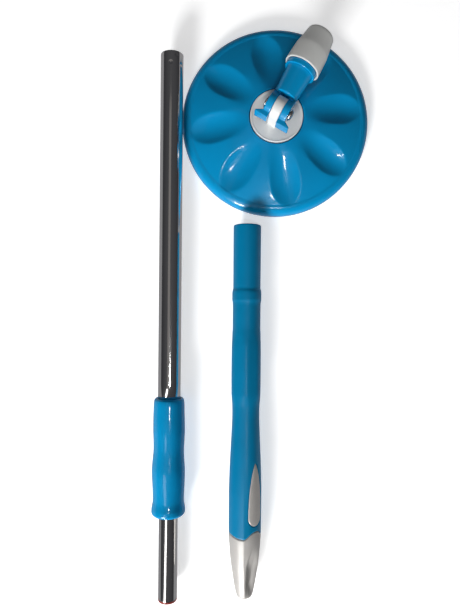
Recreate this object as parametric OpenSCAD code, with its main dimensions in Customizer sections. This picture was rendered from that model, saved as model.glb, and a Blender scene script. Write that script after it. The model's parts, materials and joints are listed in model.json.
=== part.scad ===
// Spin mop, dismantled: a telescopic pole with a push-to-spin drive, a slip-on
// handle and a round mop head, lying side by side on the floor.
// Millimetres. +Y runs along the pole, +Z is up, the origin is under the middle.

/* [Pole] */
// Outside diameter of the wide tube
wide_tube_d = 19; // [17:0.5:22]
// Outside diameter of the thin tube
thin_tube_d = 16; // [14:0.5:17]
// Wall of both steel tubes
tube_wall = 0.6; // [0.5:0.1:1]
// Length of the closed pole, end to end
pole_length = 458.8; // [440:1:480]
// Length of thin tube showing below the lock sleeve
thin_showing = 72; // [50:1:80]
// Width of the twisted flat rod
rod_w = 8; // [6:0.5:8.5]
// Thickness of the twisted flat rod
rod_t = 2.4; // [2:0.1:3]
// Length along the rod in which it makes one turn
rod_lead = 120; // [80:10:200]

/* [Lock sleeve] */
// Length of the lock sleeve
sleeve_length = 97.5; // [90:0.5:115]
// Largest diameter of the lock sleeve, at its flared end
sleeve_d = 28.5; // [28:0.5:31]

/* [Handle] */
// Length of the handle
handle_length = 315; // [300:1:330]
// Diameter of the handle at its socket
handle_d = 22.7; // [22:0.1:24]
// Largest diameter of the handle
handle_swell_d = 27.6; // [26:0.1:30]
// Length of the silver end cap
end_cap_length = 55; // [40:1:60]
// Turn of the handle about its length, from thumb side up towards +X
handle_roll = 39; // [0:1:90]

/* [Mop head] */
// Diameter of the disc
disc_d = 160; // [150:1:170]
// Height of the disc's dome at the middle
dome_h = 23; // [20:0.5:26]
// Number of leaf-shaped hollows in the dome
hollow_count = 8; // [6:1:10]
// Diameter of the white hub plate
hub_d = 44; // [40:1:50]
// Height of the hinge pin above the floor
pin_z = 36.2; // [36:0.1:40]
// Distance from the hinge pin to the collar's free end
neck_reach = 68.5; // [68:0.5:80]
// Direction in which the neck lies, from +X towards +Y
neck_heading = 60.5; // [0:0.5:90]

/* [Layout] */
// Length of the whole kit, from the thin tube's end to the disc's far edge
kit_length = 485.6; // [480:0.1:500]
// Distance from the pole's axis to the handle's
handle_gap = 64.8; // [50:0.1:66]
// Distance from the pole's axis to the disc's centre
disc_gap = 88; // [88:0.1:95]
// Distance of the handle's mouth in front of the kit's middle
handle_mouth_y = 72.9; // [60:0.1:74]

/* [Fits] */
// Radial gap where one piece turns or slides on another
run_gap = 0.05; // [0.02:0.01:0.1]
// Gap between moving pieces that never touch
free_gap = 0.35; // [0.3:0.05:0.5]

/* [Hidden] */
$fn = 64;
eps = 0.5;

steel = [0.72, 0.73, 0.74];
dark_steel = [0.35, 0.36, 0.38];
cyan = [0.03, 0.56, 0.80];
white = [0.93, 0.93, 0.91];
warm_grey = [0.82, 0.83, 0.82];
pearl = [0.78, 0.79, 0.80];
nylon = [0.16, 0.17, 0.18];
acetal = [0.88, 0.87, 0.80];
red_brown = [0.55, 0.22, 0.14];

wide_r = wide_tube_d / 2;
wide_in = wide_r - tube_wall;
thin_r = thin_tube_d / 2;
thin_in = thin_r - tube_wall;
disc_r = disc_d / 2;
sleeve_r = sleeve_d / 2;
kit_width = sleeve_r + disc_gap + disc_r;
y_low = -kit_length / 2;
disc_y = kit_length / 2 - disc_r;
pole_x = sleeve_r - kit_width / 2;
handle_x = pole_x + handle_gap;
disc_x = pole_x + disc_gap;
pole_z = sleeve_r;

// Pole stations, measured along +Y from the thin tube's open end
tube_top = pole_length;
sleeve_low = thin_showing;
sleeve_top = sleeve_low + sleeve_length;
flange_t = 3;
flange_low = sleeve_low + 5;
wide_low = flange_low + flange_t;
flange_r = wide_r + 2.5;
bush_depth = 22;
swage = 0.2;
// the shoe lies beside the guide bush, so the clutch housing stops before reaching it
brake_y = wide_low + 6;
brake_length = 14;
brake_half = 4;
brake_proud = 0.7;
cam_length = 20;
cam_r = wide_r + 2.4;
end_ring_t = 1;
end_ring_depth = 12;
thin_top = 312;
housing_length = 34;
housing_lip = 4;
nut_r = 5.6;
nut_length = 9;
nut_low = thin_top - 20;
tooth_h = 1.2;
tooth_count = 6;
tooth_w = 1.6;
tooth_depth = 0.65;
plug_length = 18;
crimp_count = 6;
plug_low = tube_top - plug_length - 1;
// the clutch housing's lip meets the guide bush at full draw
telescope_travel = thin_top - wide_low - bush_depth - 1;
rod_low = nut_low - telescope_travel - 8;
rod_top = plug_low + plug_length - 2;
slices_per_turn = 36;
rod_play = 0.3;
rod_clear_r = norm([rod_w, rod_t]) / 2 + free_gap;

// Handle stations: distance from the mouth and radius
shell_wall = 2.2;
seam = handle_length - end_cap_length;
mouth_r = handle_d / 2;
swell_r = handle_swell_d / 2;
grip_outline = [
    [0, mouth_r - 0.5], [0.6, mouth_r], [54, mouth_r], [56.5, mouth_r + 0.7],
    [63.5, mouth_r + 0.7], [66.5, mouth_r + 0.3], [90, mouth_r + 0.3], [98, mouth_r + 1.2],
    [120, mouth_r + 1.5], [143, mouth_r + 1.2], [151, mouth_r + 0.2], [160, mouth_r + 0.1],
    [185, swell_r - 1.2], [210, swell_r - 0.3], [232, swell_r], [250, swell_r],
    [seam, swell_r - 0.1]
];
cap_outline = [
    [seam, swell_r - 0.1], [seam + 11, swell_r - 0.9], [seam + 23, swell_r - 1.95],
    [seam + 33, swell_r - 3.6], [seam + 43, swell_r - 5.3], [seam + 48.5, swell_r - 6.7],
    [seam + 53, swell_r - 8.6], [handle_length, swell_r - 10.3]
];
spigot_length = 16;
socket_depth = 60;
bush_length = 56;
socket_r = thin_r + 0.15;
inlay_r = 7;
inlay_tip = 45.3;
inlay_at = 242.9;
inlay_deep = 1;
inlay_play = 0.1;
scoop_r = 5.2;
scoop_tilt = 15;

// Head stations
dome_r = 232;
shoulder_r = 8;
plate_top = 22.4;
recess_floor = 18;
recess_gap = 0.8;
shell_roof = 9;
skirt_wall = 3.7;
base_t = 2.4;
boss_r = 13;
bearing_r = 8;
spigot_r = 6;
boss_low = 6;
washer_r = 9;
hollow_r = 52;
hollow_half = 22;
hollow_first = 9;
screw_ring = 66;
screw_count = 4;
screw_r = 1.5;
screw_head_r = 3;
screw_boss_r = 3.6;
tongue_t = 7.5;
tongue_r = 9.7;
ear_gap = 0.35;
ear_in = tongue_t / 2 + ear_gap;
ear_out = 10.4;
ear_back = 12.4;
ear_half = 5;
foot_out = 15.2;
foot_t = 3.4;
pin_r = 2.5;
pin_head_r = 4.4;
pin_head_t = 1.8;
washer_t = 0.8;
root_s = 10.3;
root_r = 10.4;
neck_r = 11;
neck_end = 33;
ring_s = neck_end;
ring_t = 3;
ring_r = 13;
collar_s = 37;
step_s = neck_reach - 16;
spigot_out = 11.4;
socket_bore = wide_r + 0.1;
socket_floor = 30;
bead_s = 44;
bead_t = 2;
bead_h = 0.45;
collet_t = 4.5;

function dome_at(r) = dome_h - (dome_r - sqrt(dome_r * dome_r - r * r));

// Puts a shape built along +Z onto the pole's axis, from the thin tube's open end
module on_pole(at) {
    translate([pole_x, y_low + at, pole_z]) rotate([-90, 0, 0]) children();
}

// Puts a shape built along +Z onto the handle's axis, from its mouth to its tip;
// the shape's +X side is the thumb side
module on_handle(at = 0) {
    translate([handle_x, handle_mouth_y - at, swell_r]) rotate([90, 0, 0])
        rotate([0, 0, 90 - handle_roll]) children();
}

// Puts a shape onto the middle of the disc, at floor height
module on_disc() {
    translate([disc_x, disc_y, 0]) children();
}

// Puts a shape onto the hinge: +X along the neck, +Z up, the pin along Y
module on_hinge() {
    translate([disc_x, disc_y, pin_z]) rotate([0, 0, neck_heading]) children();
}

// Puts a shape built along +Z onto the neck's axis
module on_neck(at = 0) {
    on_hinge() translate([at, 0, 0]) rotate([0, 90, 0]) children();
}

// A straight tube along +Z
module tube(r_out, r_in, length) {
    difference() {
        cylinder(r = r_out, h = length);
        translate([0, 0, -eps]) cylinder(r = r_in, h = length + 2 * eps);
    }
}

// A solid of revolution through stations of [distance, radius]
module turned(stations) {
    last = stations[len(stations) - 1];
    rotate_extrude() polygon(concat(
        [[0, stations[0][0]]],
        [for (p = stations) [p[1], p[0]]],
        [[0, last[0]]]
    ));
}

// ---------- pole ----------

module crimp_dimple(along, turn) {
    dimple_r = 2;
    dimple_deep = 0.4;
    translate([0, 0, along]) rotate([0, 0, turn])
        translate([wide_r + dimple_r - dimple_deep, 0, 0]) sphere(r = dimple_r);
}

module outer_tube() {
    length = tube_top - wide_low;
    swaged = sleeve_top - wide_low;
    color(steel) on_pole(wide_low) difference() {
        union() {
            cylinder(r = wide_r - swage, h = length);
            translate([0, 0, swaged]) cylinder(r = wide_r, h = length - swaged);
        }
        translate([0, 0, -eps]) cylinder(r = wide_in, h = length + 2 * eps);
        // crimps that hold the rod's anchor plug
        for (i = [0 : crimp_count - 1]) crimp_dimple(length - 10, -90 + i * 360 / crimp_count);
        crimp_dimple(length - 3.5, -60);
        // window for the brake shoe
        translate([0, -brake_half, brake_y - wide_low]) cube([wide_tube_d, 2 * brake_half, brake_length]);
    }
}

module rod_anchor_plug() {
    color(nylon) on_pole(plug_low) difference() {
        cylinder(r = wide_in - run_gap, h = plug_length);
        translate([0, 0, -eps]) rod_stretch(plug_low - eps, rod_top - plug_low + eps, 0.02);
    }
}

// A stretch of the twisted rod from distance `at`, with play all round
module rod_stretch(at, length, play) {
    rotate([0, 0, -360 * (at - plug_low) / rod_lead])
        linear_extrude(length, twist = 360 * length / rod_lead,
            slices = ceil(slices_per_turn * length / rod_lead), $fn = 16)
            square([rod_w + 2 * play, rod_t + 2 * play], center = true);
}

module twisted_rod() {
    color(dark_steel) on_pole(rod_low) rod_stretch(rod_low, rod_top - rod_low, 0);
}

module guide_bush() {
    color(nylon) on_pole(flange_low) difference() {
        union() {
            cylinder(r = flange_r, h = flange_t);
            cylinder(r = wide_in - run_gap, h = flange_t + bush_depth);
        }
        translate([0, 0, -eps]) cylinder(r = thin_r + run_gap, h = flange_t + bush_depth + 2 * eps);
        // window for the brake shoe
        translate([0, -brake_half, brake_y - flange_low]) cube([wide_tube_d, 2 * brake_half, brake_length]);
    }
}

// Plastic shoe in the tube's window; the sleeve's cam presses it on the thin tube
module brake_shoe() {
    play = 0.2;
    color(nylon) on_pole(brake_y + play) intersection() {
        tube(wide_r + brake_proud, thin_r + 0.1, brake_length - 2 * play);
        translate([0, play - brake_half, 0])
            cube([wide_tube_d, 2 * (brake_half - play), brake_length]);
    }
}

// ---------- lock sleeve ----------

module lock_sleeve() {
    outline = [
        [0, sleeve_r - 1.2], [0.6, sleeve_r - 0.35], [1.8, sleeve_r], [6, sleeve_r - 0.1],
        [20, sleeve_r - 0.7], [30, sleeve_r - 0.55], [42, sleeve_r - 0.2], [52, sleeve_r - 0.5],
        [68, sleeve_r - 1], [80, sleeve_r - 0.9], [92, sleeve_r - 1.1],
        [sleeve_length - 2.2, sleeve_r - 1.3], [sleeve_length - 0.6, sleeve_r - 2],
        [sleeve_length, sleeve_r - 3]
    ];
    seat = brake_y + brake_length / 2 - cam_length / 2 - sleeve_low;
    color(cyan) on_pole(sleeve_low) difference() {
        turned(outline);
        translate([0, 0, -eps]) cylinder(r = thin_r + free_gap, h = sleeve_length);
        translate([0, 0, flange_low - free_gap - sleeve_low])
            cylinder(r = flange_r + free_gap, h = flange_t + 2 * free_gap);
        translate([0, 0, flange_low - sleeve_low])
            cylinder(r = wide_r - swage + run_gap, h = sleeve_length);
        translate([0, 0, sleeve_length - 1.5]) cylinder(r = wide_r + free_gap, h = 2);
        translate([0, 0, seat]) cylinder(r = cam_r, h = cam_length);
    }
}

module lock_cam_ring() {
    at = brake_y + brake_length / 2 - cam_length / 2;
    shoe_r = wide_r + brake_proud + free_gap;
    color(acetal) on_pole(at) difference() {
        cylinder(r = cam_r, h = cam_length);
        translate([0, 0, -eps]) cylinder(r = wide_r + brake_proud + 0.1, h = cam_length + 2 * eps);
        // deep side of the cam, over the shoe when the lock is open
        rotate([0, 0, -12]) translate([0.4, 0, -eps]) cylinder(r = shoe_r, h = cam_length + 2 * eps);
    }
}

// ---------- thin tube and drive clutch ----------

module inner_tube() {
    color(steel) on_pole(end_ring_t) tube(thin_r, thin_in, thin_top - end_ring_t);
}

module tube_end_ring() {
    mouth = thin_in - 1;
    color(red_brown) on_pole(0) difference() {
        union() {
            cylinder(r = thin_r, h = end_ring_t);
            cylinder(r = thin_in - run_gap, h = end_ring_depth);
        }
        translate([0, 0, -eps]) cylinder(r = mouth, h = end_ring_depth + 2 * eps);
    }
}

module clutch_housing() {
    low = thin_top + housing_lip - housing_length;
    inside = nut_r + run_gap;
    color(nylon) on_pole(low) difference() {
        union() {
            cylinder(r = thin_in - run_gap, h = housing_length);
            translate([0, 0, housing_length - housing_lip])
                cylinder(r = wide_in - 1.5 * run_gap, h = housing_lip);
        }
        translate([0, 0, -eps]) cylinder(r = rod_clear_r, h = housing_length);
        translate([0, 0, nut_low - tooth_h - 3 - low]) cylinder(r = inside, h = housing_length);
    }
}

// Face teeth round a ring, standing up from z = 0, rooted by the lengths given
module face_teeth(below, above) {
    for (i = [0 : tooth_count - 1]) rotate([0, 0, i * 360 / tooth_count])
        translate([rod_clear_r + 0.15, -tooth_w / 2, -below])
            cube([tooth_depth, tooth_w, below + tooth_h + above]);
}

module clutch_ring() {
    base = 3 - free_gap;
    low = nut_low - tooth_h - 3;
    color(acetal) on_pole(low) difference() {
        union() {
            cylinder(r = nut_r - run_gap, h = base - tooth_h);
            translate([0, 0, base - tooth_h]) face_teeth(0.3, 0);
        }
        translate([0, 0, -eps]) cylinder(r = rod_clear_r, h = base + 2 * eps);
    }
}

// Nut driven round by the rod; its face teeth catch the clutch ring one way only
module drive_nut() {
    color(acetal) difference() {
        union() {
            on_pole(nut_low) cylinder(r = nut_r, h = nut_length);
            on_pole(nut_low - tooth_h) face_teeth(0, 0.3);
        }
        on_pole(nut_low - tooth_h - 1)
            rod_stretch(nut_low - tooth_h - 1, nut_length + tooth_h + 2, rod_play);
    }
}

module nut_retainer() {
    low = nut_low + nut_length + free_gap;
    color(nylon) on_pole(low) difference() {
        cylinder(r = nut_r, h = thin_top + housing_lip - low);
        translate([0, 0, -eps]) cylinder(r = rod_clear_r, h = housing_length);
    }
}

// ---------- handle ----------

// Teardrop outline with its round end at the origin and its point towards +Y
module teardrop(r, tip) {
    lean = acos(r / tip);
    steps = 24;
    polygon(concat([[0, tip]], [
        for (i = [0 : steps]) let (a = 90 - lean - i * (360 - 2 * lean) / steps)
            [r * cos(a), r * sin(a)]
    ]));
}

// Teardrop prism standing out of the handle's thumb side
module inlay_prism(r, tip) {
    translate([0, 0, inlay_at]) rotate([0, 90, 0]) rotate([0, 0, -90])
        linear_extrude(2 * swell_r) teardrop(r, tip);
}

// The handle's outline sunk by `deep`
module sunk_grip(deep) {
    turned([for (p = grip_outline) [p[0], p[1] - deep]]);
}

module handle_grip() {
    socket = mouth_r - shell_wall;
    last = len(grip_outline) - 1;
    inner = [
        for (i = [last : -1 : 0]) let (p = grip_outline[i])
            if (p[0] > socket_depth) [p[1] - shell_wall, p[0]]
    ];
    color(cyan) on_handle() difference() {
        rotate_extrude() polygon(concat(
            [for (p = grip_outline) [p[1], p[0]]], inner, [[socket, socket_depth], [socket, 0]]
        ));
        difference() {
            inlay_prism(inlay_r + inlay_play, inlay_tip * (1 + inlay_play / inlay_r));
            sunk_grip(inlay_deep);
        }
    }
}

module thumb_inlay() {
    color(pearl) on_handle() difference() {
        intersection() {
            inlay_prism(inlay_r, inlay_tip);
            sunk_grip(-0.2);
        }
        sunk_grip(inlay_deep);
    }
}

// Liner that centres the thin tube in the handle's mouth
module socket_bush() {
    rib = mouth_r - shell_wall;
    floor_t = 3;
    color(nylon) on_handle(1) difference() {
        cylinder(r = rib, h = bush_length);
        translate([0, 0, -eps]) cylinder(r = socket_r, h = bush_length - floor_t + eps);
    }
}

module end_cap() {
    color(pearl) on_handle() difference() {
        union() {
            turned(cap_outline);
            translate([0, 0, seam - spigot_length])
                cylinder(r = swell_r - shell_wall - 0.4, h = spigot_length + 1);
        }
        // thumb hollow that runs out at the tip
        translate([swell_r + scoop_r - 1.2, 0, seam + 10]) rotate([0, -scoop_tilt, 0])
            cylinder(r = scoop_r, h = end_cap_length + 10);
    }
}

// ---------- mop head ----------

// Outline of the dome from the middle to the rim, in arcs
function dome_points() = [
    for (r = [0 : 6 : disc_r - shoulder_r]) [r, dome_at(r)]
];

module dome_solid() {
    edge = disc_r - shoulder_r;
    low = dome_at(edge) - shoulder_r + 1;
    rotate_extrude($fn = 180) polygon(concat(
        dome_points(),
        [for (a = [78 : -13 : 0]) [edge + shoulder_r * cos(a), low + shoulder_r * sin(a) * 0.88]],
        [[disc_r, 0], [0, 0]]
    ));
}

// Shallow leaf-shaped hollow, cut by a ball whose lowest point is at hollow_r
module leaf_hollow(turn) {
    ball = 48;
    deep = 3.2;
    lean = 15;
    width = 23;
    height = 12;
    rotate([0, 0, turn]) translate([hollow_r, 0, dome_at(hollow_r)])
        rotate([0, lean, 0]) translate([0, 0, -deep]) intersection() {
            translate([0, 0, ball]) sphere(r = ball, $fn = 96);
            translate([-hollow_half, -width / 2, 0]) cube([2 * hollow_half, width, height]);
        }
}

module screw_places() {
    for (i = [0 : screw_count - 1]) rotate([0, 0, 31.5 + i * 360 / screw_count])
        translate([screw_ring, 0, 0]) children();
}

module mop_disc() {
    recess_r = hub_d / 2 + recess_gap;
    color(cyan) on_disc() difference() {
        dome_solid();
        for (i = [0 : hollow_count - 1]) leaf_hollow(hollow_first + i * 360 / hollow_count);
        translate([0, 0, recess_floor]) cylinder(r = recess_r, h = dome_h);
        // underside: one ring-shaped hollow, with posts for the base screws
        difference() {
            translate([0, 0, -eps]) cylinder(r = disc_r - skirt_wall, h = shell_roof + eps);
            translate([0, 0, boss_low]) cylinder(r = boss_r, h = dome_h);
            translate([0, 0, base_t]) screw_places() cylinder(r = screw_boss_r, h = dome_h);
        }
        cylinder(r = bearing_r, h = dome_h);
        screw_places() cylinder(r = screw_r, h = shell_roof);
    }
}

module base_plate() {
    opening_r = 16;
    color(white) on_disc() difference() {
        cylinder(r = disc_r - skirt_wall - 0.2, h = base_t);
        translate([0, 0, -eps]) cylinder(r = opening_r, h = base_t + 2 * eps);
        translate([0, 0, -eps]) screw_places() cylinder(r = screw_r + 0.1, h = base_t + 2 * eps);
        translate([0, 0, -eps]) screw_places() cylinder(r = screw_head_r + 0.2, h = eps + 1.6);
    }
}

module base_screws() {
    color(steel) on_disc() screw_places() union() {
        translate([0, 0, 0.1]) cylinder(r = screw_head_r, h = 1.5);
        translate([0, 0, 1]) cylinder(r = screw_r, h = shell_roof - 1.5);
    }
}

module bearing_bush() {
    color(acetal) on_disc() translate([0, 0, boss_low])
        tube(bearing_r, spigot_r + run_gap, recess_floor - boss_low);
}

module hub_plate() {
    low = recess_floor + free_gap;
    rim = 1.4;
    color(white) on_disc() difference() {
        union() {
            translate([0, 0, low]) cylinder(r = hub_d / 2, h = plate_top - rim - low);
            translate([0, 0, plate_top - rim]) cylinder(r1 = hub_d / 2, r2 = hub_d / 2 - rim, h = rim);
            translate([0, 0, boss_low - free_gap]) cylinder(r = spigot_r, h = low - boss_low + 2 * free_gap);
            // tongue that stands up between the yoke's ears
            rotate([0, 0, neck_heading]) {
                translate([-tongue_r, -tongue_t / 2, low])
                    cube([2 * tongue_r, tongue_t, pin_z - low]);
                translate([0, tongue_t / 2, pin_z]) rotate([90, 0, 0])
                    cylinder(r = tongue_r, h = tongue_t);
            }
        }
        rotate([0, 0, neck_heading]) translate([0, disc_r / 2, pin_z]) rotate([90, 0, 0])
            cylinder(r = pin_r + run_gap, h = disc_r);
        cylinder(r = screw_r, h = plate_top - 3);
    }
}

module hub_washer() {
    top = boss_low - free_gap;
    color(steel) on_disc() translate([0, 0, top - 1.2]) tube(washer_r, screw_r + 0.2, 1.2);
}

module hub_screw() {
    top = boss_low - free_gap - 1.2;
    head_t = 2.2;
    color(dark_steel) on_disc() union() {
        difference() {
            translate([0, 0, top - head_t]) cylinder(r = 4, h = head_t);
            translate([-3, -0.5, top - head_t - eps]) cube([6, 1, 0.9 + eps]);
            translate([-0.5, -3, top - head_t - eps]) cube([1, 6, 0.9 + eps]);
        }
        translate([0, 0, top - 0.1]) cylinder(r = screw_r, h = 12);
    }
}

// ---------- neck ----------

// One ear of the yoke, on the +Y or -Y side of the tongue
module ear(side) {
    ear_t = ear_out - ear_in;
    mirror([0, side < 0 ? 1 : 0, 0]) {
        translate([0, ear_out, 0]) rotate([90, 0, 0]) cylinder(r = tongue_r, h = ear_t);
        translate([-ear_back, ear_in, -ear_half]) cube([ear_back + root_s + 4, ear_t, 2 * ear_half]);
        translate([-ear_back, ear_in, -ear_half]) cube([foot_t, foot_out - ear_in, 2 * ear_half]);
    }
}

module neck_yoke() {
    color(cyan) difference() {
        union() {
            on_hinge() {
                ear(1);
                ear(-1);
            }
            on_neck(root_s) cylinder(r1 = root_r, r2 = neck_r, h = neck_end - root_s);
            on_neck(neck_end - eps) cylinder(r = spigot_out, h = step_s - neck_end);
            on_neck(bead_s) cylinder(r = spigot_out + bead_h, h = bead_t);
        }
        on_neck(socket_floor) cylinder(r = socket_bore, h = neck_reach);
        on_hinge() rotate([90, 0, 0]) cylinder(r = pin_r, h = disc_r, center = true);
        // slots that let the spigot close on the tube
        for (turn = [0, 90]) on_neck(step_s - 12) rotate([0, 0, turn + 45])
            translate([-spigot_out - 1, -0.8, 0]) cube([2 * spigot_out + 2, 1.6, 14]);
    }
}

module hinge_pin() {
    length = 2 * (ear_out + washer_t);
    color(steel) on_hinge() rotate([90, 0, 0]) union() {
        cylinder(r = pin_r, h = length, center = true);
        translate([0, 0, length / 2]) cylinder(r1 = pin_head_r, r2 = pin_head_r - 0.8, h = pin_head_t);
        translate([0, 0, -length / 2 - 1]) cylinder(r1 = pin_head_r - 1.6, r2 = pin_head_r - 1, h = 1);
    }
}

module pin_washers() {
    color(steel) on_hinge() rotate([90, 0, 0]) {
        translate([0, 0, ear_out]) tube(pin_head_r + 0.6, pin_r, washer_t);
        translate([0, 0, -ear_out - washer_t]) tube(pin_head_r + 0.6, pin_r, washer_t);
    }
}

// Ring between the neck and the collar
module stop_ring() {
    color(cyan) on_neck(ring_s) tube(ring_r, spigot_out + run_gap, ring_t);
}

// ---------- collar ----------

module socket_collar() {
    length = neck_reach - collar_s;
    outline = [
        [0, 14.2], [0.8, 15], [2.4, 15], [3.2, 14.6], [16, 13.9], [22, 12.9],
        [28, 11.8], [length - 1.2, 11.5], [length, 10.8]
    ];
    bore = spigot_out + run_gap;
    bored = step_s + collet_t + 0.1 - collar_s;
    color(warm_grey) on_neck(collar_s) difference() {
        turned(outline);
        translate([0, 0, -eps]) cylinder(r = bore, h = bored + eps);
        translate([0, 0, bead_s - free_gap - collar_s])
            cylinder(r = spigot_out + bead_h + free_gap, h = bead_t + 2 * free_gap);
        cylinder(r = socket_bore + 0.4, h = neck_reach);
    }
}

// Ring in the collar that closes on the pole as the collar is turned
module collar_collet() {
    color(nylon) on_neck(step_s) tube(spigot_out, socket_bore + 0.1, collet_t);
}

outer_tube();
rod_anchor_plug();
twisted_rod();
guide_bush();
brake_shoe();
lock_sleeve();
lock_cam_ring();
inner_tube();
clutch_housing();
clutch_ring();
nut_retainer();
tube_end_ring();
drive_nut();
handle_grip();
socket_bush();
thumb_inlay();
end_cap();
mop_disc();
base_plate();
base_screws();
bearing_bush();
hub_plate();
hub_washer();
hub_screw();
neck_yoke();
hinge_pin();
pin_washers();
stop_ring();
socket_collar();
collar_collet();
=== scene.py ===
"""Spin mop, dismantled and seen from straight above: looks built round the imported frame.

Stations and outlines are written in millimetres and scaled when they are built.
"""
import json
import math

import bmesh
import bpy
import numpy as np
from mathutils import Matrix, Vector


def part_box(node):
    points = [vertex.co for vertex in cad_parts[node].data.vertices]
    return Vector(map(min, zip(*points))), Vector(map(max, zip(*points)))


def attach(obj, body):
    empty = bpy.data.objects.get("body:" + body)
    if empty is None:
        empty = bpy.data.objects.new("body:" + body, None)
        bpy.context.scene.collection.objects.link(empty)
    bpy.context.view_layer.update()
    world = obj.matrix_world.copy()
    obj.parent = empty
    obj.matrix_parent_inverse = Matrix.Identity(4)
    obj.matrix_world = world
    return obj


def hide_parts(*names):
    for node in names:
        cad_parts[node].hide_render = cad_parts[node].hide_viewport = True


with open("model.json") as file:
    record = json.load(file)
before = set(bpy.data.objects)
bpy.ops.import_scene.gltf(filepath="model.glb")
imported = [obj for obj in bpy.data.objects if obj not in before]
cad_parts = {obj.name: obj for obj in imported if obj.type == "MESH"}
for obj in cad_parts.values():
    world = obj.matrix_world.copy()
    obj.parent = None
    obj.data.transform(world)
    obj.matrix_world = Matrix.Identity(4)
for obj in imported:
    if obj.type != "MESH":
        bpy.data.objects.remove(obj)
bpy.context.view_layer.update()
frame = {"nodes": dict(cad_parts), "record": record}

MM = 0.001
UP = Vector((0, 0, 1))
ACROSS_KIT = Vector((1, 0, 0))
ALONG_POLE = Vector((0, 1, 0))


# ------------------------------------------------------------------ places from the frame


class Place:
    """Where the CAD nodes lie, read from the frame."""

    def __init__(self):
        tube_low, tube_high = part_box("outer_tube")
        self.pole_x = (tube_low[0] + tube_high[0]) / 2
        self.pole_z = (tube_low[2] + tube_high[2]) / 2
        self.tube_r = (tube_high[0] - tube_low[0]) / 2
        self.tube_top = tube_high[1]
        sleeve_low, sleeve_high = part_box("lock_sleeve")
        self.sleeve_low, self.sleeve_top = sleeve_low[1], sleeve_high[1]
        thin_low, thin_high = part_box("inner_tube")
        self.thin_r = (thin_high[0] - thin_low[0]) / 2
        self.thin_low, self.thin_top = thin_low[1], thin_high[1]
        self.ring_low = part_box("tube_end_ring")[0][1]
        grip_low, grip_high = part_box("handle_grip")
        self.handle_x = (grip_low[0] + grip_high[0]) / 2
        self.handle_z = (grip_low[2] + grip_high[2]) / 2
        self.mouth = grip_high[1]
        joints = {j["name"]: j for j in frame["record"]["behaviour"]["joints"]}
        self.pin = Vector(joints["neck_swing"]["pos_m"])
        self.along = Vector(joints["collar_twist"]["axis"]).normalized()
        self.across = Vector(joints["neck_swing"]["axis"]).normalized()
        self.disc = Vector((self.pin.x, self.pin.y, 0))


def frame_of(x, y, z, origin):
    """The matrix that turns the local axes into these directions, at an origin."""
    rows = [(x[i], y[i], z[i], origin[i]) for i in range(3)]
    return Matrix(rows + [(0, 0, 0, 1)])


at = Place()

# Turned pieces are built along their frame's local +Z
POLE_FRAME = frame_of(ACROSS_KIT, -UP, ALONG_POLE, (at.pole_x, 0, at.pole_z))
HANDLE_FRAME = frame_of(ACROSS_KIT, UP, -ALONG_POLE, (at.handle_x, at.mouth, at.handle_z))
DISC_FRAME = Matrix.Translation(at.disc)
NECK_FRAME = frame_of(-UP, -at.across, at.along, at.pin)
PIN_FRAME = frame_of(at.along, UP, at.across, at.pin)
TONGUE_FRAME = frame_of(at.along, UP, at.across, at.disc)
YOKE_FRAME = frame_of(at.along, -at.across, UP, at.pin)


# ------------------------------------------------------------------ curves and outlines


def smoothstep(low, high, x):
    """0 below low, 1 above high, smooth between them."""
    t = np.clip((np.asarray(x, float) - low) / (high - low), 0, 1)
    return t * t * (3 - 2 * t)


def bell(centre, half, x):
    """A smooth bump, 1 at the centre and 0 beyond half a width from it."""
    t = np.clip(np.abs(np.asarray(x, float) - centre) / half, 0, 1)
    return (1 - t * t) ** 2


def turn_from(angles, centre):
    """Signed angle from a centre line, wrapped to half a turn each way."""
    return np.angle(np.exp(1j * (angles - centre)))


def along_stations(stations, t):
    """Smooth curve through [distance, value] stations, without overshoot."""
    x, y = np.array(stations, float).T
    slope = np.diff(y) / np.diff(x)
    m = np.zeros(len(x))
    m[0], m[-1] = slope[0], slope[-1]
    for i in range(1, len(x) - 1):
        if slope[i - 1] * slope[i] > 0:
            m[i] = 2 * slope[i - 1] * slope[i] / (slope[i - 1] + slope[i])
    t = np.clip(np.asarray(t, float), x[0], x[-1])
    k = np.clip(np.searchsorted(x, t) - 1, 0, len(x) - 2)
    h = x[k + 1] - x[k]
    u = (t - x[k]) / h
    return (
        y[k] * (1 + 2 * u) * (1 - u) ** 2
        + m[k] * h * u * (1 - u) ** 2
        + y[k + 1] * u * u * (3 - 2 * u)
        - m[k + 1] * h * u * u * (1 - u)
    )


def spaced(*stretches):
    """Distances through touching (start, end, count) stretches, with no point twice."""
    parts = [np.linspace(start, end, count) for start, end, count in stretches]
    return np.concatenate([parts[0]] + [part[1:] for part in parts[1:]])


def skin_outline(stations, distances):
    """(radius, distance) points of a skin that runs through its stations."""
    return [(float(along_stations(stations, d)), float(d)) for d in distances]


def in_metres(points):
    """Points of two or three coordinates, from millimetres."""
    return [tuple(c * MM for c in point) for point in points]


def rounded(points, radius, steps=5):
    """The outline with each corner between its first and last point turned into a small arc."""
    most = 0.45
    out = [points[0]]
    for before, corner, after in zip(points, points[1:], points[2:]):
        p0, p1, p2 = (Vector(p).to_2d() for p in (before, corner, after))
        a, b = p0 - p1, p2 - p1
        r = min(radius, a.length * most, b.length * most)
        start, end = p1 + a.normalized() * r, p1 + b.normalized() * r
        for i in range(steps + 1):
            u = i / steps
            q = start * (1 - u) ** 2 + p1 * 2 * u * (1 - u) + end * u * u
            out.append((q.x, q.y))
    out.append(points[-1])
    return out


def filled_along(outline, step):
    """The outline with extra points so that no stretch is longer than step."""
    out = []
    for (r0, z0), (r1, z1) in zip(outline, outline[1:]):
        n = max(1, math.ceil(math.hypot(r1 - r0, z1 - z0) / step))
        out += [(r0 + (r1 - r0) * i / n, z0 + (z1 - z0) * i / n) for i in range(n)]
    return out + [outline[-1]]


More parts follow.
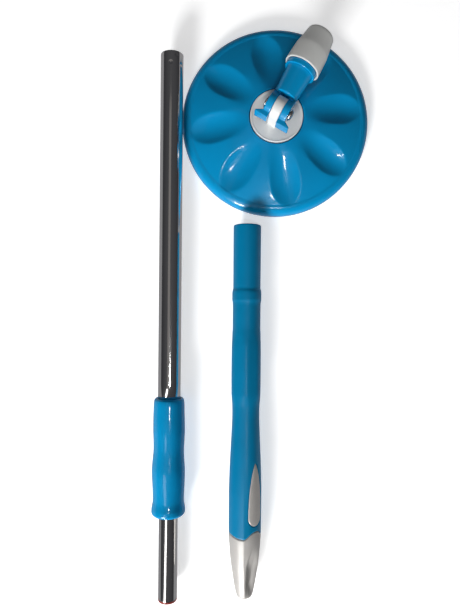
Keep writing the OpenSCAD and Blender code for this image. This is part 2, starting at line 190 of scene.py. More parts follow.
def arc(centre, radius, start, end, steps):
    """Points on an arc, angles in degrees."""
    turns = [math.radians(start + (end - start) * i / steps) for i in range(steps + 1)]
    return [(centre[0] + radius * math.cos(a), centre[1] + radius * math.sin(a)) for a in turns]


# ------------------------------------------------------------------ meshes


def mesh_piece(name, verts, faces, place=None):
    """A smooth-shaded object from mesh data, with its vertices moved out of a local frame."""
    mesh = bpy.data.meshes.new(name)
    verts = [Vector(v) for v in verts]
    if place is not None:
        verts = [place @ v for v in verts]
    mesh.from_pydata(verts, [], faces)
    mesh.validate()
    bm = bmesh.new()
    bm.from_mesh(mesh)
    bmesh.ops.remove_doubles(bm, verts=bm.verts, dist=1e-7)
    bmesh.ops.recalc_face_normals(bm, faces=bm.faces)
    bm.to_mesh(mesh)
    bm.free()
    mesh.polygons.foreach_set("use_smooth", [True] * len(mesh.polygons))
    piece = bpy.data.objects.new(name, mesh)
    bpy.context.scene.collection.objects.link(piece)
    return piece


def ring_faces(rows, around, closed=False):
    """Quads between neighbouring rings of vertices, and back to the first ring if closed."""
    faces = []
    for i in range(rows if closed else rows - 1):
        a, b = i * around, ((i + 1) % rows) * around
        for j in range(around):
            k = (j + 1) % around
            faces.append((a + j, a + k, b + k, b + j))
    return faces


def turned(name, outline, place, segments=128, warp=None, closed=True):
    """A solid of revolution about local +Z through (radius, distance) points in metres.
    warp(radii, distances, angles) may return new radii and distances for the whole grid."""
    pts = np.array(outline, float)
    angles = np.linspace(0, 2 * math.pi, segments, endpoint=False)
    radii = np.repeat(pts[:, :1], segments, axis=1)
    dist = np.repeat(pts[:, 1:], segments, axis=1)
    grid = np.repeat(angles[None, :], len(pts), axis=0)
    if warp is not None:
        radii, dist = warp(radii, dist, grid)
    xyz = np.stack([radii * np.cos(grid), radii * np.sin(grid), dist], axis=-1).reshape(-1, 3)
    return mesh_piece(name, xyz.tolist(), ring_faces(len(pts), segments, closed), place)


def first_rows(count, new, old):
    """The new values in the first rows of a grid, and the old ones in the rest."""
    return np.vstack([new[:count], old[count:]])


def prism(outline, low, high):
    """Verts and faces of a flat outline extruded along local Z."""
    n = len(outline)
    verts = [(x, y, z) for z in (low, high) for x, y in outline]
    faces = [(i, (i + 1) % n, n + (i + 1) % n, n + i) for i in range(n)]
    return verts, faces + [tuple(range(n - 1, -1, -1)), tuple(range(n, 2 * n))]


def joined(parts):
    """The parts as one object, which stays active. It keeps the first part's name."""
    bpy.ops.object.select_all(action="DESELECT")
    for part in parts:
        part.select_set(True)
    bpy.context.view_layer.objects.active = parts[0]
    bpy.ops.object.join()
    return parts[0]


def fused(name, parts, voxel, smooth_passes):
    """One skin over overlapping closed parts, with the blended corners of a moulding."""
    piece = joined(parts)
    piece.name = name
    remesh = piece.modifiers.new("skin", "REMESH")
    remesh.mode = "VOXEL"
    remesh.voxel_size = voxel
    remesh.use_smooth_shade = True
    soften = piece.modifiers.new("soften", "SMOOTH")
    soften.factor = 0.5
    soften.iterations = smooth_passes
    for modifier in ("skin", "soften"):
        bpy.ops.object.modifier_apply(modifier=modifier)
    piece.select_set(False)
    piece.data.polygons.foreach_set("use_smooth", [True] * len(piece.data.polygons))
    return piece


# ------------------------------------------------------------------ materials


def new_material(name):
    """A node material with a Principled shader on its output."""
    material = bpy.data.materials.new(name)
    material.use_nodes = True
    nodes, links = material.node_tree.nodes, material.node_tree.links
    nodes.clear()
    out = nodes.new("ShaderNodeOutputMaterial")
    shader = nodes.new("ShaderNodeBsdfPrincipled")
    links.new(shader.outputs[0], out.inputs["Surface"])
    return material, nodes, links, shader


def noise_at(nodes, links, scale, detail=3, stretch=(1, 1, 1), rough=0.55):
    """Noise over the object's own coordinates, stretched along an axis."""
    coords = nodes.new("ShaderNodeTexCoord")
    mapping = nodes.new("ShaderNodeMapping")
    mapping.inputs["Scale"].default_value = stretch
    links.new(coords.outputs["Object"], mapping.inputs["Vector"])
    tex = nodes.new("ShaderNodeTexNoise")
    tex.inputs["Scale"].default_value = scale
    tex.inputs["Detail"].default_value = detail
    tex.inputs["Roughness"].default_value = rough
    links.new(mapping.outputs[0], tex.inputs["Vector"])
    return tex.outputs["Fac"]


def ramp(nodes, links, source, low, high, at_low=0.3, at_high=0.7):
    """Maps a 0 to 1 signal onto a colour or grey range."""
    node = nodes.new("ShaderNodeValToRGB")
    links.new(source, node.inputs[0])
    ends = node.color_ramp.elements
    ends[0].position, ends[1].position = at_low, at_high
    for end, value in zip(ends, (low, high)):
        end.color = (*value, 1) if isinstance(value, tuple) else (value, value, value, 1)
    return node.outputs[0]


def darker(colour, share):
    """The colour times a share."""
    return tuple(c * share for c in colour)


def bumped(nodes, links, shader, signals, strength=0.3):
    """Chains bump nodes for (signal, height in metres) pairs into the shader."""
    normal = None
    for signal, height in signals:
        bump = nodes.new("ShaderNodeBump")
        bump.inputs["Strength"].default_value = strength
        bump.inputs["Distance"].default_value = height
        links.new(signal, bump.inputs["Height"])
        if normal is not None:
            links.new(normal, bump.inputs["Normal"])
        normal = bump.outputs[0]
    links.new(normal, shader.inputs["Normal"])


def plastic(name, colour, shade=0.9, rough=(0.2, 0.3), coat=0.0, ripple=0.00006, grain=0.0):
    """Moulded plastic: faint flow marks, scuffs in its gloss, slight waviness and maybe a grain."""
    material, nodes, links, shader = new_material(name)
    flow = noise_at(nodes, links, scale=22, detail=4)
    tone = ramp(nodes, links, flow, darker(colour, shade), colour, at_low=0.3, at_high=0.65)
    links.new(tone, shader.inputs["Base Color"])
    scuff = noise_at(nodes, links, scale=260, detail=5, rough=0.65)
    gloss = ramp(nodes, links, scuff, rough[0], rough[1], at_low=0.35, at_high=0.75)
    links.new(gloss, shader.inputs["Roughness"])
    shader.inputs["Coat Weight"].default_value = coat
    shader.inputs["Coat Roughness"].default_value = 0.04
    shader.inputs["IOR"].default_value = 1.5
    shader.inputs["Specular IOR Level"].default_value = 0.25
    signals = [(noise_at(nodes, links, scale=90, detail=2), ripple)]
    if grain:
        signals.append((noise_at(nodes, links, scale=2600, detail=2), grain))
    bumped(nodes, links, shader, signals, strength=0.5)
    return material


def polished_steel(name):
    """Drawn stainless tube: mirror polish, faint lengthwise marks and a few smears."""
    dull, bright = (0.74, 0.735, 0.73), (0.84, 0.83, 0.82)
    material, nodes, links, shader = new_material(name)
    patches = noise_at(nodes, links, scale=40, stretch=(1, 0.15, 1))
    links.new(ramp(nodes, links, patches, dull, bright), shader.inputs["Base Color"])
    smear = noise_at(nodes, links, scale=30, detail=5, stretch=(1, 0.35, 1), rough=0.6)
    gloss = ramp(nodes, links, smear, 0.10, 0.16, at_low=0.35, at_high=0.8)
    links.new(gloss, shader.inputs["Roughness"])
    shader.inputs["Metallic"].default_value = 1
    draw_marks = noise_at(nodes, links, scale=900, stretch=(1, 0.02, 1))
    bumped(nodes, links, shader, [(draw_marks, 0.000003)], strength=0.3)
    return material


def plain_steel(name, colour, rough):
    """Plated or bare steel with fine tool marks."""
    material, nodes, links, shader = new_material(name)
    patches = noise_at(nodes, links, scale=180, detail=4)
    links.new(ramp(nodes, links, patches, darker(colour, 0.85), colour), shader.inputs["Base Color"])
    marks = noise_at(nodes, links, scale=700, detail=4)
    links.new(ramp(nodes, links, marks, rough * 0.8, rough * 1.3), shader.inputs["Roughness"])
    shader.inputs["Metallic"].default_value = 1
    bumped(nodes, links, shader, [(marks, 0.00001)], strength=0.4)
    return material


def pearl_paint(name, colour):
    """Pearl silver paint: fine flakes under a satin coat."""
    material, nodes, links, shader = new_material(name)
    flakes = nodes.new("ShaderNodeTexVoronoi")
    coords = nodes.new("ShaderNodeTexCoord")
    links.new(coords.outputs["Object"], flakes.inputs["Vector"])
    flakes.inputs["Scale"].default_value = 3500
    fleck = flakes.outputs["Distance"]
    tone = ramp(nodes, links, fleck, colour, darker(colour, 0.86), at_low=0.1, at_high=0.9)
    links.new(tone, shader.inputs["Base Color"])
    wear = noise_at(nodes, links, scale=120, detail=4)
    links.new(ramp(nodes, links, wear, 0.42, 0.50), shader.inputs["Roughness"])
    shader.inputs["Metallic"].default_value = 0.12
    shader.inputs["Coat Weight"].default_value = 0.08
    shader.inputs["Coat Roughness"].default_value = 0.15
    waves = noise_at(nodes, links, scale=110, detail=2)
    bumped(nodes, links, shader, [(waves, 0.00005)], strength=0.4)
    return material


FINE_GRAIN, COARSE_GRAIN = 0.00001, 0.00002

MATERIALS = {
    "cyan_plastic": plastic(
        "cyan_plastic", (0.0, 0.29, 0.60), rough=(0.20, 0.27), coat=0.45, ripple=0.00001),
    "handle_plastic": plastic(
        "handle_plastic", (0.0, 0.215, 0.43), rough=(0.30, 0.38), ripple=0.00002),
    "white_plastic": plastic(
        "white_plastic", (0.80, 0.81, 0.80), shade=0.96, rough=(0.2, 0.3), coat=0.2),
    "warm_grey_plastic": plastic(
        "warm_grey_plastic", (0.66, 0.665, 0.645), shade=0.94, rough=(0.34, 0.46), grain=FINE_GRAIN),
    "dark_nylon": plastic(
        "dark_nylon", (0.018, 0.02, 0.022), shade=0.7, rough=(0.38, 0.5), grain=COARSE_GRAIN),
    "acetal": plastic(
        "acetal", (0.72, 0.70, 0.60), shade=0.93, rough=(0.3, 0.4)),
    "red_brown_plastic": plastic(
        "red_brown_plastic", (0.36, 0.06, 0.045), shade=0.8, rough=(0.4, 0.55), grain=COARSE_GRAIN),
    "polished_steel": polished_steel("polished_steel"),
    "plated_steel": plain_steel("plated_steel", (0.70, 0.70, 0.69), rough=0.18),
    "dark_steel": plain_steel("dark_steel", (0.25, 0.25, 0.27), rough=0.3),
    "pearl_silver": pearl_paint("pearl_silver", (0.54, 0.52, 0.495)),
}


def dress(piece, body, slot, *nodes):
    """Gives a piece its body, its material and the CAD nodes that it stands for."""
    piece.data.materials.clear()
    piece.data.materials.append(MATERIALS[slot])
    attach(piece, body)
    if nodes:
        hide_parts(*nodes)
    return piece


# ------------------------------------------------------------------ pole

TUBE_WALL = 0.6 * MM
TUBE_STEP = 12 * MM


def dimpled(spots, depth, size):
    """A warp that presses round dimples at (distance, degrees) spots into the wide tube's skin."""
    skin_from = at.tube_r - 0.3 * MM
    flat_share = 0.15

    def warp(radii, dist, angles):
        press = np.zeros_like(radii)
        for where, turn in spots:
            away = np.hypot(turn_from(angles, math.radians(turn)) * at.tube_r, dist - where)
            press = np.maximum(press, depth * (1 - smoothstep(flat_share, 1, away / size)))
        return radii - np.where(radii > skin_from, press, 0), dist

    return warp


def wide_tube():
    """The wide tube: crimped and rounded at its free end, and swaged inside the sleeve."""
    r, top, low = at.tube_r, at.tube_top, at.sleeve_low + 8 * MM
    crimped_from = top - 14 * MM
    swage, lip, crimp_step = 0.2 * MM, 0.12 * MM, 0.35 * MM
    crimps = [(top - 10 * MM, -90 + 60 * i) for i in range(6)]
    edge_dent = (top - 3.5 * MM, -60)
    outline = [(r - swage, low), (r - swage, at.sleeve_top - 0.3 * MM)]
    outline += filled_along([(r, at.sleeve_top - 0.1 * MM), (r, crimped_from)], TUBE_STEP)
    outline += filled_along([(r, crimped_from + 0.1 * MM), (r, top - lip)], crimp_step)
    outline += arc((r - TUBE_WALL / 2, top - TUBE_WALL / 2), TUBE_WALL / 2, 20, 160, 6)
    outline += [(r - TUBE_WALL, top - TUBE_WALL), (r - TUBE_WALL, low)]
    warp = dimpled(crimps + [edge_dent], depth=0.42 * MM, size=2.0 * MM)
    piece = turned("wide_tube", outline, POLE_FRAME, 192, warp)
    return dress(piece, "pole", "polished_steel", "outer_tube")


def thin_tube():
    """The thin tube, rounded at its open end."""
    r, low, top = at.thin_r, at.thin_low, at.thin_top
    outline = arc((r - TUBE_WALL / 2, low + TUBE_WALL / 2), TUBE_WALL / 2, 200, 340, 6)
    outline += filled_along([(r, low + TUBE_WALL), (r, top)], TUBE_STEP)
    outline += [(r - TUBE_WALL, top), (r - TUBE_WALL, low + TUBE_WALL)]
    piece = turned("thin_tube_skin", outline, POLE_FRAME, 160)
    return dress(piece, "thin_tube", "polished_steel", "inner_tube")


def end_ring():
    """The ring in the thin tube's open end: a flange, and a stem inside the tube."""
    proud = 0.6 * MM
    low = at.ring_low - proud
    flange_top, stem_top = low + 1.0 * MM + proud, low + 12 * MM
    r, stem, bore = at.thin_r, at.thin_r - 0.65 * MM, at.thin_r - 1.6 * MM
    outline = rounded([
        (bore, stem_top), (bore, low), (r, low), (r, flange_top),
        (stem, flange_top), (stem, stem_top), (bore, stem_top),
    ], 0.3 * MM)
    piece = turned("tube_end_skin", outline, POLE_FRAME, 128)
    return dress(piece, "thin_tube", "red_brown_plastic", "tube_end_ring")


# [distance from the flared end, radius] in mm
SLEEVE_STATIONS = [
    [0, 13.0], [1, 13.9], [2.2, 14.25], [4.5, 14.2], [8, 13.6], [11.5, 13.15], [15, 13.15], [24, 13.35],
    [31, 13.6], [37, 13.75], [44, 13.4], [54, 12.95], [62, 13.15], [70, 13.45], [78, 13.35], [86, 13.1],
    [93, 12.9], [96, 12.5], [97.5, 11.4],
]


def sleeve_warp(radii, dist, angles):
    """Fills and thins the sleeve's skin on either side, and gives it six very shallow ribs."""
    skin_from = 10.6 * MM
    y = (dist - at.sleeve_low) / MM
    away_side, kit_side = np.clip(-np.cos(angles), 0, 1), np.clip(np.cos(angles), 0, 1)
    lean = (0.35 * bell(36, 22, y) - 0.3 * bell(62, 24, y)) * away_side
    lean += (0.2 * bell(24, 13, y) - 0.2 * bell(48, 17, y)) * kit_side
    ribs = 0.12 * np.cos(6 * angles) * bell(52, 38, y)
    return radii + np.where(radii > skin_from, (lean + ribs) * MM, 0), dist


def lock_sleeve():
    """The twist sleeve: a soft waist and bulge, fuller on one side, and a flared rolled end."""
    low, top = at.sleeve_low, at.sleeve_top
    end_r = SLEEVE_STATIONS[-1][1] * MM
    wide_bore, wide_mouth = 9.55 * MM, 9.85 * MM
    thin_bore, thin_mouth = at.thin_r + 0.35 * MM, at.thin_r + 1.6 * MM
    distances = spaced((0, 6, 28), (6, 92, 60), (92, (top - low) / MM, 28))
    outline = [(r * MM, low + d * MM) for r, d in skin_outline(SLEEVE_STATIONS, distances)]
    outline += [(end_r - 0.7 * MM, top), (wide_mouth, top - 0.2 * MM), (wide_bore, top - 1.2 * MM)]
    outline += [(wide_bore, low + 8.4 * MM), (thin_bore, low + 4.6 * MM)]
    outline += [(thin_bore, low + 0.8 * MM), (thin_mouth, low)]
    piece = turned("lock_sleeve_skin", outline, POLE_FRAME, 160, sleeve_warp)
    return dress(piece, "lock_collar_sleeve", "cyan_plastic", "lock_sleeve")


# ------------------------------------------------------------------ handle

# [distance from the mouth, radius] in mm
GRIP_STATIONS = [
    [0, 11.05], [0.3, 11.4], [0.9, 11.6], [2, 11.65], [53, 11.55], [56, 12.2], [58, 12.3],
    [62.5, 12.3], [65, 11.9], [68, 11.7], [86, 11.7], [93, 12.2], [101, 12.75], [122, 12.9],
    [141, 12.75], [147, 12.1], [152, 11.55], [160, 11.45], [175, 11.95], [192, 12.75], [210, 13.45],
    [228, 13.8], [250, 13.8], [262, 13.75],
]
CAP_STATIONS = [
    [253, 13.78], [260, 13.72], [270, 13.1], [282, 12.0], [292, 10.5], [302, 8.9], [308, 7.7],
    [311, 6.9], [312.5, 6.1], [313.4, 4.6], [313.7, 2.4], [313.72, 0.05],
]
GRIP_END = GRIP_STATIONS[-1][0]
CAP_START, CAP_END = CAP_STATIONS[0][0], CAP_STATIONS[-1][0]
SEAM = 259.6
RIDGE_TURN = math.radians(95)
THUMB_TURN = math.radians(51)

# The teardrop: where its round end is widest, half its width, its length ahead of that place,
# and the grip's radius under it
INLAY_CENTRE = 242.9
INLAY_HALF = 7.0
INLAY_TIP = 45.3
INLAY_SKIN_R = 13.6


def seam_at(angles):
    """Where grip and cap meet, in mm: scalloped on the thumb side, and nearer the mouth behind."""
    away = np.abs(turn_from(angles, THUMB_TURN))
    scallop = 5.4 * (1 - smoothstep(0.1, 0.8, away))
    behind = 1.4 * smoothstep(0.9, 1.9, away)
    return SEAM - scallop - behind


def facets(dist, angles):
    """Radius change in mm: soft flats on the swell, and the ridge that runs down to the tip."""
    flats = -0.55 * np.sin(0.5 * turn_from(6 * angles, 6 * RIDGE_TURN)) ** 2
    on_swell = smoothstep(88, 100, dist) * (1 - smoothstep(140, 152, dist))
    away = turn_from(angles, RIDGE_TURN)
    ridge = 0.22 * np.exp(-(away / 0.10) ** 2) + 0.25 * np.exp(-(away / 0.5) ** 2)
    lower = smoothstep(205, 258, dist)
    before_tip = 1 - smoothstep(296, 311, dist)
    return flats * on_swell + ridge * lower * before_tip - 0.12 * lower


def inlay_half(ahead):
    """Half the inlay's width, in mm, at a distance ahead of its widest place."""
    share = np.clip(np.asarray(ahead, float) / INLAY_TIP, 0, 1)
    return INLAY_HALF * (1 - share ** 2.2) ** 0.75


def teardrop_gap(dist, angles):
    """Distance in mm from the teardrop's edge on the grip's skin, negative inside it."""
    across = turn_from(angles, THUMB_TURN) * INLAY_SKIN_R
    ahead = INLAY_CENTRE - dist
    round_end = np.hypot(across, np.minimum(ahead, 0)) - INLAY_HALF
    beside = np.abs(across) - inlay_half(ahead)
    beyond = np.hypot(across, ahead - INLAY_TIP)
    return np.where(ahead < 0, round_end, np.where(ahead > INLAY_TIP, beyond, beside))


def grip_skin(y, angles):
    """Radius and distance in mm of the grip's skin, whose last stretch is drawn up to the seam."""
    seam = seam_at(angles)
    lower = y + smoothstep(244, GRIP_END, y) * (seam - GRIP_END)
    edge = teardrop_gap(lower, angles)
    rebate = 0.45 * (1 - smoothstep(-0.1, 0.55, edge)) + 0.5 * (1 - smoothstep(-1.2, -0.5, edge))
    roll_in = 0.5 * smoothstep(-0.9, 0.0, lower - seam)
    return along_stations(GRIP_STATIONS, lower) + facets(lower, angles) - rebate - roll_in, lower


def handle_grip():
    """The blue grip: faceted swell, ridge, a rebated pocket round the inlay and a wavy lower edge."""
    socket, socket_end, hollow = 9.15, 60.0, 9.6
    outer = skin_outline(GRIP_STATIONS, spaced(
        (0, 2, 8), (2, 52, 22), (52, 70, 40), (70, 86, 8), (86, 160, 90), (160, 194, 16),
        (194, 252, 140), (252, GRIP_END, 30),
    ))
    inner = [
        (11.9, GRIP_END), (11.5, 240), (hollow, 160), (hollow, socket_end),
        (socket, socket_end), (socket, 0.5), (9.7, 0),
    ]

    def warp(radii, dist, angles):
        r, lower = grip_skin(dist / MM, angles)
        return first_rows(len(outer), r * MM, radii), lower * MM

    piece = turned("handle_skin", in_metres(outer + inner), HANDLE_FRAME, 240, warp)
    return dress(piece, "handle", "handle_plastic", "handle_grip")


def inlay_edge(share):
    """The point at a share of the way round the teardrop's edge, as (across, distance) in mm."""
    round_share = 0.36
    if share < round_share:
        a = math.pi * (share / round_share)
        return INLAY_HALF * math.cos(a), INLAY_CENTRE + INLAY_HALF * math.sin(a)
    v = (share - round_share) / (1 - round_share)
    ahead = INLAY_TIP * (1 - abs(2 * v - 1) ** 1.6)
    half = float(inlay_half(ahead))
    return (-half if v < 0.5 else half), INLAY_CENTRE - ahead


def on_grip(across, dist, lift):
    """A point lifted in mm off the grip's skin, in the handle's frame."""
    angle = THUMB_TURN + across / INLAY_SKIN_R
    r = float(along_stations(GRIP_STATIONS, dist) + facets(dist, angle)) + lift
    return (r * math.cos(angle) * MM, r * math.sin(angle) * MM, dist * MM)


def thumb_inlay():
    """Silver teardrop set in the grip, crowned, with a rounded edge."""
    rings, around = 26, 160
    crown, edge_drop, proud, depth = 0.28, 0.55, 0.05, 1.0
    slim, shorten = 0.985, 0.99
    middle = INLAY_CENTRE - INLAY_TIP * 0.3
    edge = [inlay_edge(k / around) for k in range(around)]

    def ring(size, lift):
        """The edge drawn in to a share of its size about the middle."""
        return [on_grip(x * size * slim, middle + (y - middle) * size * shorten, lift) for x, y in edge]

    verts = []
    for i in range(rings + 1):
        size = i / rings
        drop = edge_drop * float(smoothstep(0.93, 1.0, size)) ** 2
        verts += ring(size, crown * (1 - size ** 2) - drop + proud)
    under = len(verts)
    verts += ring(1, -depth)
    faces = ring_faces(rings + 2, around) + [tuple(range(under, under + around))]
    piece = mesh_piece("thumb_inlay_skin", verts, faces, HANDLE_FRAME)
    return dress(piece, "handle", "pearl_silver", "thumb_inlay")


def thumb_hollow(dist, angles):
    """Depth in mm of the cap's hollow, with a steep wall beside the ridge and a gentle rise beyond."""
    across = turn_from(angles, THUMB_TURN)
    to_ridge = 0.30 + 0.36 * smoothstep(266, 286, dist)
    to_side = 0.32 + 0.40 * smoothstep(266, 290, dist)
    steep = 1 - smoothstep(0.55, 1.0, across / to_ridge)
    gentle = 1 - smoothstep(0.2, 1.0, -across / to_side)
    deepest = 4.2 * smoothstep(266, 290, dist) - 3.9 * smoothstep(299, 313, dist)
    return np.where(across > 0, steep, gentle) * deepest


def cap_skin(y, angles):
    """Radius and distance in mm of the cap's skin, stretched so that it starts at the seam."""
    gap, smallest_r = 0.12, 0.05
    first = seam_at(angles) + gap
    stretch = first + (y - CAP_START) * (CAP_END - first) / (CAP_END - CAP_START)
    lead = 0.55 * (1 - smoothstep(0.0, 1.0, stretch - first))
    r = along_stations(CAP_STATIONS, stretch) + facets(stretch, angles)
    return np.maximum(r - lead - thumb_hollow(stretch, angles), smallest_r), stretch


def end_cap():
    """The silver cap: a ridge down the front and a deep thumb hollow that runs out at the tip."""
    spigot, spigot_start, axis_r = 11.2, 246, 0.05
    outer = skin_outline(CAP_STATIONS, spaced(
        (CAP_START, 268, 40), (268, 300, 76), (300, 313, 46), (313, CAP_END, 18)))
    inner = [
        (axis_r, 312), (axis_r, spigot_start), (spigot - 0.2, spigot_start),
        (spigot, spigot_start + 0.4), (spigot, 254),
    ]

    def warp(radii, dist, angles):
        r, stretch = cap_skin(dist / MM, angles)
        return first_rows(len(outer), r * MM, radii), first_rows(len(outer), stretch * MM, dist)

    piece = turned("end_cap_skin", in_metres(outer + inner), HANDLE_FRAME, 240, warp)
    return dress(piece, "handle", "pearl_silver", "end_cap")


# ------------------------------------------------------------------ mop head, in mm

DISC_R = 80.0
SHOULDER = 8.0
DOME_R = 232.0
DOME_H = 23.0
HOLLOWS = 8
HOLLOW_FIRST = math.radians(9)


def dome_height(r):
    """Height of the disc's top at a radius."""
    return DOME_H - (DOME_R - np.sqrt(DOME_R ** 2 - np.asarray(r, float) ** 2))


def leaf_depth(r, angles):
    """Depth of the eight leaf-shaped hollows, crisp outside and blended at the inner end."""
    inner, widest, outer, half = 27.5, 54.0, 73.0, 12.6
    deepest = 3.7
    pitch = 2 * math.pi / HOLLOWS
    local = (angles - HOLLOW_FIRST + pitch / 2) % pitch - pitch / 2
    u, v = r * np.cos(local), r * np.sin(local)
    reach = np.where(u > widest, (u - widest) / (outer - widest), (widest - u) / (widest - inner))
    sharp = deepest * (1 - reach ** 2 - (v / half) ** 2)
    soft = 0.26 + 0.5 * (1 - smoothstep(30, 46, u))
    return soft * np.logaddexp(0, sharp / soft)


def mop_disc():
    """Domed disc with leaf-shaped hollows, a recess for the hub and an open shell with a boss below."""
    edge = DISC_R - SHOULDER
    shoulder_z = float(dome_height(edge)) - SHOULDER + 1
    recess, recess_z = 22.8, 18.0
    recess_top = float(dome_height(recess))
    bush, boss, boss_z = 8.0, 13.0, 6.0
    inner, roof = 76.3, 9.0
    lip = [(recess, recess_top - 0.5), (recess + 0.12, recess_top - 0.15)]
    top = [(r, float(dome_height(r))) for r in np.linspace(recess + 0.5, edge, 120)]
    shoulder = [(edge + SHOULDER * math.cos(a), shoulder_z + SHOULDER * math.sin(a) * 0.88)
                for a in np.radians(np.linspace(84, 0, 22))]
    skirt = [(DISC_R, 2.5), (DISC_R, 0.5), (DISC_R - 0.15, 0.12), (DISC_R - 0.5, 0.0)]
    under = [
        (inner + 0.4, 0.0), (inner, 0.4), (inner, roof - 1), (inner - 1, roof), (boss + 1, roof),
        (boss, roof - 1), (boss, boss_z), (bush, boss_z), (bush, recess_z), (recess, recess_z),
    ]
    skin = len(lip + top + shoulder)

    def warp(radii, dist, angles):
        r = radii / MM
        depth = leaf_depth(r, angles) * smoothstep(recess + 0.4, recess + 4, r) * MM
        return radii, first_rows(skin, dist - depth, dist)

    outline = in_metres(lip + top + shoulder + skirt + under)
    piece = turned("mop_disc_skin", outline, DISC_FRAME, 480, warp)
    return dress(piece, "disc", "cyan_plastic", "mop_disc")


PLATE_LOW, PLATE_TOP = 18.35, 22.4


def tongue():
    """The upright white tongue that the yoke folds on, with bevelled edges."""
    half, thick = 9.7, 7.9
    outline = [(-half, PLATE_LOW), (half, PLATE_LOW)] + arc((0, at.pin.z / MM), half, 0, 180, 40)
    verts, faces = prism(outline, -thick / 2, thick / 2)
    piece = mesh_piece("tongue", in_metres(verts), faces, TONGUE_FRAME)
    for face in piece.data.polygons:
        face.use_smooth = False
    bevel = piece.modifiers.new("edge", "BEVEL")
    bevel.width, bevel.segments, bevel.limit_method = 0.8 * MM, 5, "ANGLE"
    bevel.harden_normals = True
    bpy.context.view_layer.objects.active = piece
    bpy.ops.object.modifier_apply(modifier="edge")
    return piece


def hub_plate():
    """White turning plate with a raised rim, its hollow spigot and the hinge's tongue."""
    r, face = 22.0, PLATE_TOP - 0.28
    spigot, spigot_low = 5.9, 5.65
    bore, bore_top = 1.5, PLATE_TOP - 3.2
    plate = turned("hub_plate_skin", in_metres(rounded([
        (spigot, PLATE_LOW), (r, PLATE_LOW), (r, PLATE_TOP), (r - 1.2, PLATE_TOP), (r - 1.9, face),
        (0.2, face), (0.2, bore_top), (bore, bore_top), (bore, spigot_low), (spigot, spigot_low),
        (spigot, PLATE_LOW),
    ], 0.55)), DISC_FRAME, 160)
    return dress(joined([plate, tongue()]), "hub", "white_plastic", "hub_plate")


def yoke_part(verts, faces):
    """A part of the yoke given with X along the neck, Y across it and Z up from the pin, in mm."""
    return mesh_piece("part", in_metres(verts), faces, YOKE_FRAME)


def ear(side):
    """One ear of the yoke: a round-ended cheek whose back end turns outwards as a foot."""
    inner, outer, foot_out = 4.1, 10.4, 15.2
    cheek_r, cheek_out = 9.7, 9.8
    back, root = 12.4, 14.5
    half, root_half = 5.0, 1.8
    above = arc((0, 0), cheek_r, 30, 150, 20)
    below = arc((0, 0), cheek_r, 210, 330, 20)
    cheek = [(root, root_half)] + above + [(-back, half), (-back, -half)] + below + [(root, -root_half)]
    verts, faces = prism(cheek, inner, cheek_out)
    cheek_part = yoke_part([(x, side * z, y) for x, y, z in verts], faces)
    foot = [
        (-back, inner), (-back, foot_out), (-back + 1.6, foot_out),
        (-back + 4.2, outer), (-back + 4.2, inner),
    ]
    verts, faces = prism(foot, -half, half)
    return [cheek_part, yoke_part([(x, side * y, z) for x, y, z in verts], faces)]


def neck_yoke():
    """The blue yoke: ears and feet, and the socket tube that they grow out of."""
    root, end, bore_low = 10.6, 52, 30
    tube = turned("neck_tube", in_metres([
        (9.4, root), (9.6, 10.8), (9.75, 13), (10.3, 22), (10.9, 31), (11.4, 33), (11.4, end),
        (9.6, end), (9.6, bore_low), (0.05, bore_low), (0.05, root),
    ]), NECK_FRAME, 96)
    yoke = fused("neck_yoke_skin", [tube] + ear(1) + ear(-1), voxel=0.36 * MM, smooth_passes=9)
    return dress(yoke, "neck", "cyan_plastic", "neck_yoke")


def stop_ring():
    """The rounded ring between neck and collar."""
    inner, outer, low, top = 11.3, 13.0, 33, 37.6
    outline = rounded([(inner, low), (outer, low), (outer, top), (inner, top), (inner, low)], 0.9)
    piece = turned("stop_ring_skin", in_metres(outline), NECK_FRAME, 128)
    return dress(piece, "neck", "cyan_plastic", "stop_ring")


# [distance from the pin, radius]
COLLAR_STATIONS = [
    [37, 14.3], [37.3, 14.75], [37.9, 14.85], [40.4, 14.75], [47, 14.4], [52.5, 14.0],
    [54.5, 13.65], [58, 12.95], [63, 12.1], [66.2, 11.65], [67.8, 11.2], [68.5, 10.5],
]


def socket_collar():
    """Pale turned collar: rolled rim by the neck, straight body, cone and rounded free end."""
    bore, thread, counterbore = 10.0, 11.45, 13.45
    outer = skin_outline(COLLAR_STATIONS, spaced(
        (37, 42, 24), (42, 52.5, 14), (52.5, 54.8, 16), (54.8, 65, 20), (65, 68.5, 18)))
    inner = [
        (bore + 0.1, 68.5), (bore, 68.1), (bore, 57.3), (thread, 57.1), (thread, 39.2),
        (counterbore, 38.9), (counterbore, 37.3), (13.7, 37.0),
    ]
    piece = turned("socket_collar_skin", in_metres(outer + inner), NECK_FRAME, 160)
    return dress(piece, "collar", "warm_grey_plastic", "socket_collar")


def hinge_pin():
    """Steel pin with a domed head at one end and a peened end at the other."""
    half, shaft_r, axis_r = 11.2, 2.5, 0.02
    head = [(axis_r, half + 1.8), (1.6, half + 1.72), (3.0, half + 1.4), (3.9, half + 0.8), (4.3, half)]
    shaft = [(shaft_r, half - 0.05), (shaft_r, -half)]
    tail = [(3.2, -half), (3.2, -half - 0.5), (2.4, -half - 0.95), (axis_r, -half - 1.0)]
    outline = in_metres(filled_along(head, 0.4) + shaft + tail)
    piece = turned("hinge_pin_skin", outline, PIN_FRAME, 64, closed=False)
    return dress(piece, "neck", "plated_steel", "hinge_pin")


# ------------------------------------------------------------------ stage, light, camera


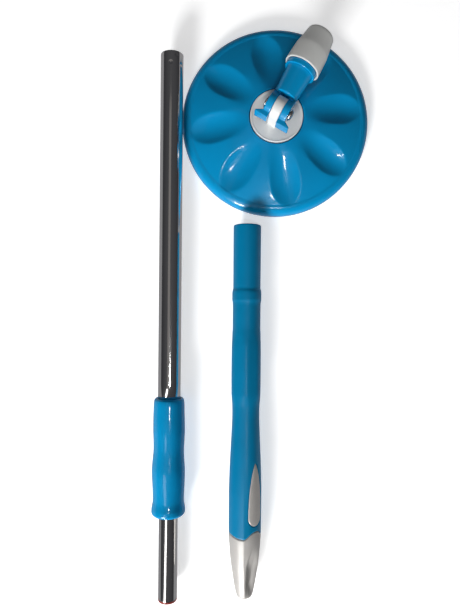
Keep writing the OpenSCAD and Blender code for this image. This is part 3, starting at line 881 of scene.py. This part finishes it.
def floor():
    """A large white floor, faintly mottled, that glows a little and isn't seen in reflections."""
    half, cells = 6.0, 8
    across = cells + 1
    step = 2 * half / cells
    verts = [(-half + i * step, -half + j * step, 0) for j in range(across) for i in range(across)]
    corners = [j * across + i for j in range(cells) for i in range(cells)]
    faces = [(c, c + 1, c + across + 1, c + across) for c in corners]
    piece = mesh_piece("floor", verts, faces)
    material, nodes, links, shader = new_material("floor_white")
    mottle = noise_at(nodes, links, scale=3, detail=2)
    tone = ramp(nodes, links, mottle, (0.90, 0.90, 0.90), (0.93, 0.93, 0.93))
    links.new(tone, shader.inputs["Base Color"])
    shader.inputs["Roughness"].default_value = 0.9
    shader.inputs["Specular IOR Level"].default_value = 0.0
    shader.inputs["Emission Color"].default_value = (1, 1, 1, 1)
    shader.inputs["Emission Strength"].default_value = 0.55
    piece.data.materials.append(material)
    piece.visible_glossy = False


def area_light(name, place, target, size, power, colour=(1, 1, 1)):
    """A rectangular light at a place, turned to a target."""
    data = bpy.data.lights.new(name, "AREA")
    data.shape, data.size, data.size_y = "RECTANGLE", size[0], size[1]
    data.energy, data.color = power, colour
    lamp = bpy.data.objects.new(name, data)
    lamp.location = place
    lamp.rotation_euler = (Vector(target) - Vector(place)).to_track_quat("-Z", "Y").to_euler()
    bpy.context.scene.collection.objects.link(lamp)


def dim_room():
    """A room that is pale up to the horizon, darkest just above it and a little lighter overhead."""
    world = bpy.data.worlds.new("room")
    bpy.context.scene.world = world
    world.use_nodes = True
    nodes, links = world.node_tree.nodes, world.node_tree.links
    back = nodes["Background"]
    coords = nodes.new("ShaderNodeTexCoord")
    split = nodes.new("ShaderNodeSeparateXYZ")
    links.new(coords.outputs["Generated"], split.inputs[0])
    tone = nodes.new("ShaderNodeValToRGB")
    links.new(split.outputs["Z"], tone.inputs[0])
    stops = tone.color_ramp.elements
    stops[0].position, stops[0].color = 0.0, (0.32, 0.32, 0.33, 1)
    stops[1].position, stops[1].color = 1.0, (0.075, 0.075, 0.08, 1)
    stops.new(0.10).color = (0.036, 0.036, 0.04, 1)
    links.new(tone.outputs[0], back.inputs["Color"])
    back.inputs["Strength"].default_value = 0.9


def studio():
    """A low key beyond the pole's thin end, a long window, a small lamp and a faint warm ceiling."""
    centre = (0.0, 0.0, 0.0)
    warm = (1.0, 0.93, 0.86)
    area_light("key", (-0.6, -1.3, 0.7), centre, size=(0.5, 0.3), power=30)
    area_light("window", (-0.47, -0.75, 1.0), (-0.1, -0.1, 0.0), size=(0.27, 0.6), power=1.5)
    area_light("lamp", (0.11, -0.23, 1.0), (0.01, 0.1, 0.0), size=(0.10, 0.05), power=0.9)
    area_light("ceiling", (-0.33, 0.0, 2.4), (-0.33, 0.0, 0.0), size=(0.9, 2.4), power=0.9, colour=warm)
    dim_room()


def camera():
    data = bpy.data.cameras.new("camera")
    data.sensor_width, data.lens = 36, 28.19
    data.clip_start, data.clip_end = 0.01, 10
    eye = bpy.data.objects.new("camera", data)
    eye.location = (-0.0262, 0.0043, 0.420)
    eye.rotation_euler = (0, 0, math.radians(0.5))
    bpy.context.scene.collection.objects.link(eye)
    bpy.context.scene.camera = eye
    bpy.context.scene.view_settings.view_transform = "Standard"


# ------------------------------------------------------------------ build


def dress_cad_nodes():
    """Gives every CAD node the material of its slot."""
    slots = {s["node"]: s["material_slot"] for s in frame["record"]["subparts"]}
    for name, node in frame["nodes"].items():
        material = MATERIALS[slots[name]]
        if node.data.materials:
            for i in range(len(node.data.materials)):
                node.data.materials[i] = material
        else:
            node.data.materials.append(material)


camera()
dress_cad_nodes()
for build in (
    wide_tube, thin_tube, end_ring, lock_sleeve, handle_grip, thumb_inlay, end_cap,
    mop_disc, hub_plate, neck_yoke, stop_ring, socket_collar, hinge_pin,
):
    build()
floor()
studio()
